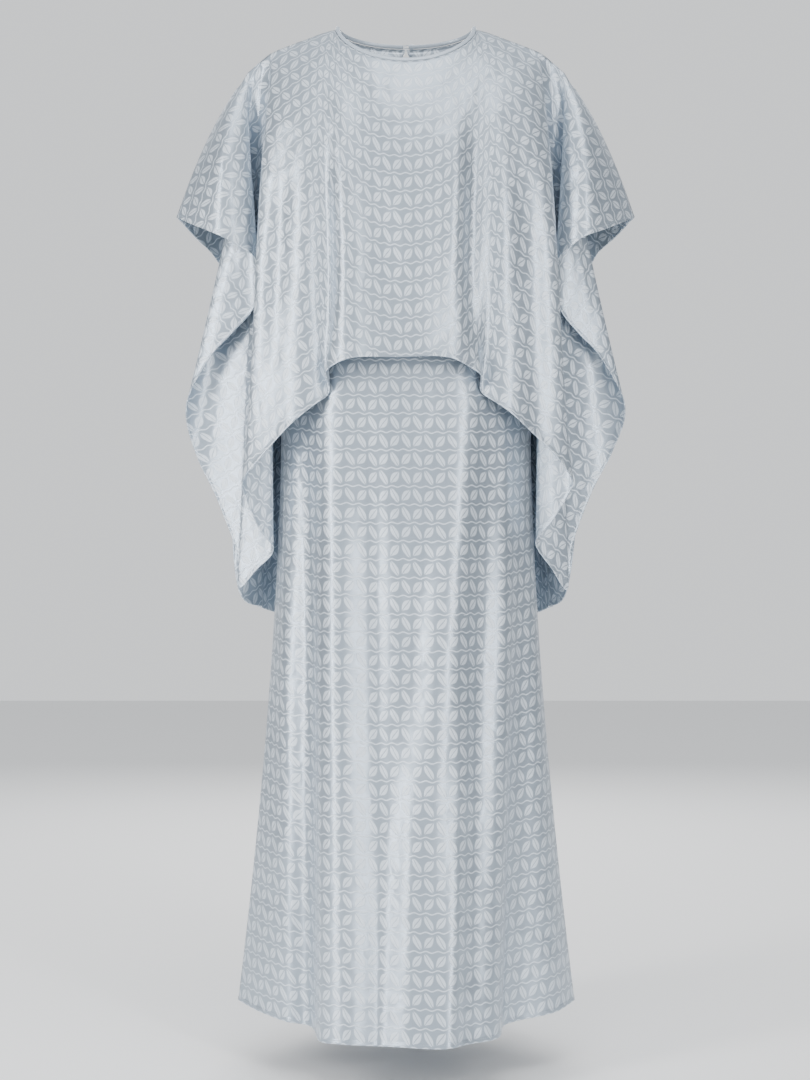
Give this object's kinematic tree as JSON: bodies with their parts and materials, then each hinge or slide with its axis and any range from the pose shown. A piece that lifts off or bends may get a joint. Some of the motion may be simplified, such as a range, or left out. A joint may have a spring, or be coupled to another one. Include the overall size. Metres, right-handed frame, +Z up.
{
  "type": "kaftan dress",
  "caption": "Floor-length sleeveless satin dress with a cape sewn in at the round neck, open sides, arched front hem and keyhole back, in its hollow worn form.",
  "frame": {"origin": "level with the two neck points, midway between them in width and depth, where the wearer's shoulders carry the garment", "axes": "+Z up, -Y the front of the garment, +X to the right of a viewer in front"},
  "size_m": [0.655, 0.4037, 1.4075],
  "materials": {
    "cape_satin": "satin jacquard",
    "dress_satin": "satin jacquard",
    "binding": "plain satin",
    "button": "pearl",
    "loop": "matt cord"
  },
  "bodies": {
    "root": {"cape_front": "cape_satin", "cape_back": "cape_satin", "dress_front": "dress_satin", "dress_back": "dress_satin", "neck_binding": "binding", "keyhole_binding": "binding", "button": "button", "button_loop": "loop"}
  },
  "joints": []
}
